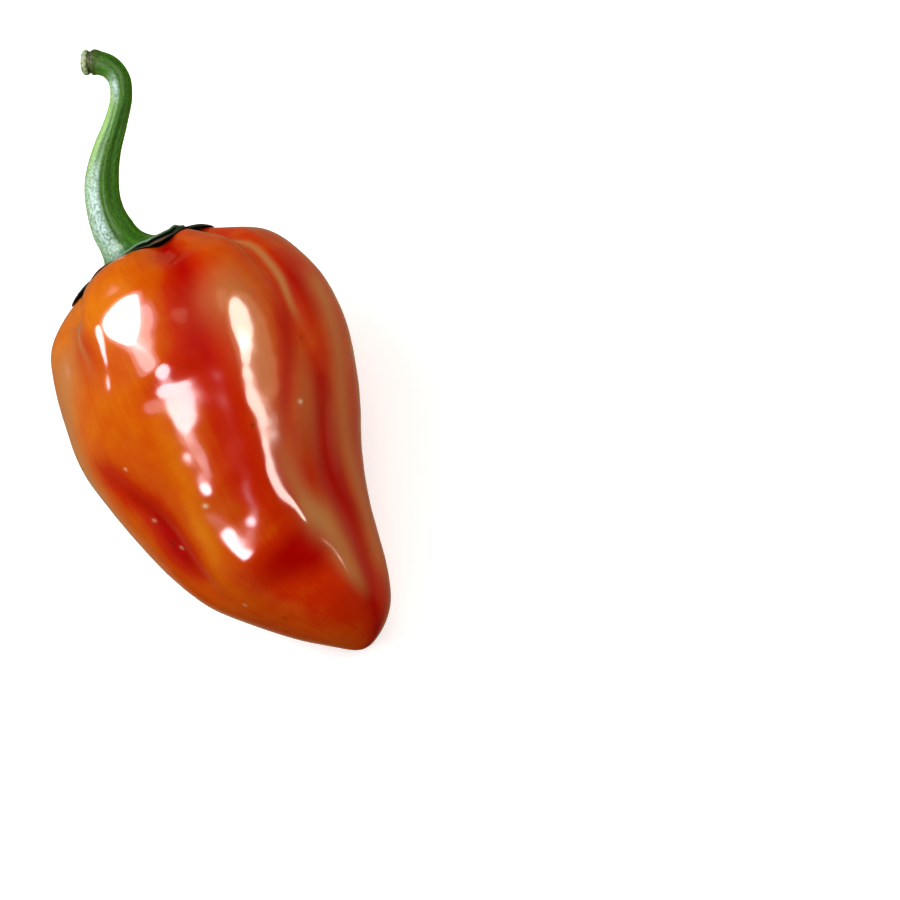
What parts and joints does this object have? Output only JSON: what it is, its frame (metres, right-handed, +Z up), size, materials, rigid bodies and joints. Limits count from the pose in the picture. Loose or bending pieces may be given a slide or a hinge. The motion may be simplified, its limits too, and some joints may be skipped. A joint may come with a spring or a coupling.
{
  "type": "chilli pepper",
  "caption": "Ripe orange-red chilli pepper, taken for a poblano type, lying on its side: a broad-shouldered, furrowed pod that tapers to a blunt tip, with its calyx and curved stem.",
  "frame": {"origin": "middle of the object's box, on the surface that it lies on", "axes": "+X from the stem's end towards the tip, +Y towards the pod's right flank, +Z up"},
  "size_m": [0.1458, 0.0706, 0.0581],
  "materials": {
    "skin": "glossy waxy skin, orange to deep red",
    "calyx": "dull dark green, dry at the rim",
    "stem": "satin green, ribbed, with a pale cut end"
  },
  "bodies": {
    "root": {"pod": "skin", "calyx": "calyx", "stem": "stem"}
  },
  "joints": []
}
